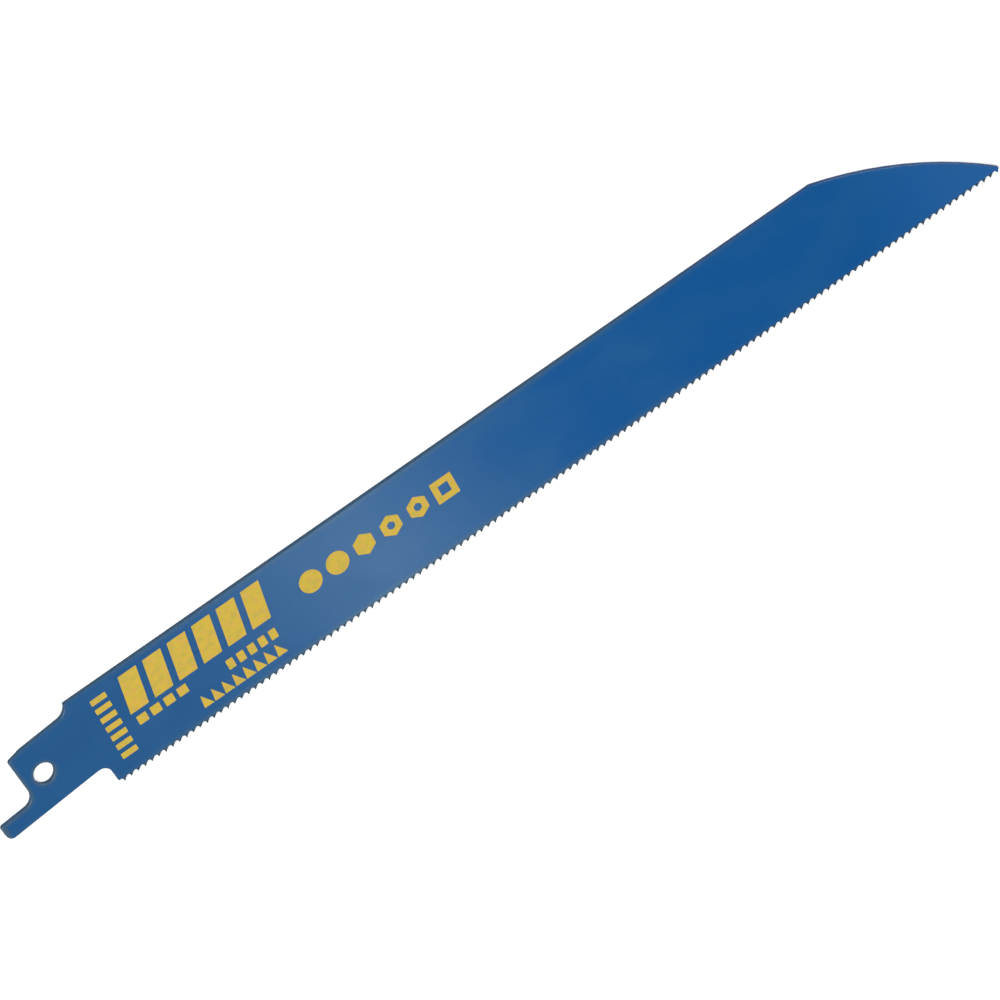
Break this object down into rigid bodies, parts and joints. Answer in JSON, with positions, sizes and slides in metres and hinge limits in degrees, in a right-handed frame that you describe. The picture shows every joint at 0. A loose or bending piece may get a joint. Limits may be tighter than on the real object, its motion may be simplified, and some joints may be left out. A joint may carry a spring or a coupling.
{
  "type": "reciprocating saw blade",
  "caption": "Flat fine-toothed reciprocating saw blade with a canted, pronged and holed shank and a curved nose.",
  "frame": {"origin": "centre of the shank's hole at mid-thickness", "axes": "+X along the blade to its nose, +Y towards its back edge, +Z along the hole through the thickness"},
  "size_m": [0.2033, 0.019, 0.0012],
  "materials": {
    "blade_steel": "satin blue lacquer",
    "print_ink": "matt yellow screen print"
  },
  "bodies": {
    "root": {"saw_blade": "blade_steel"}
  },
  "joints": []
}
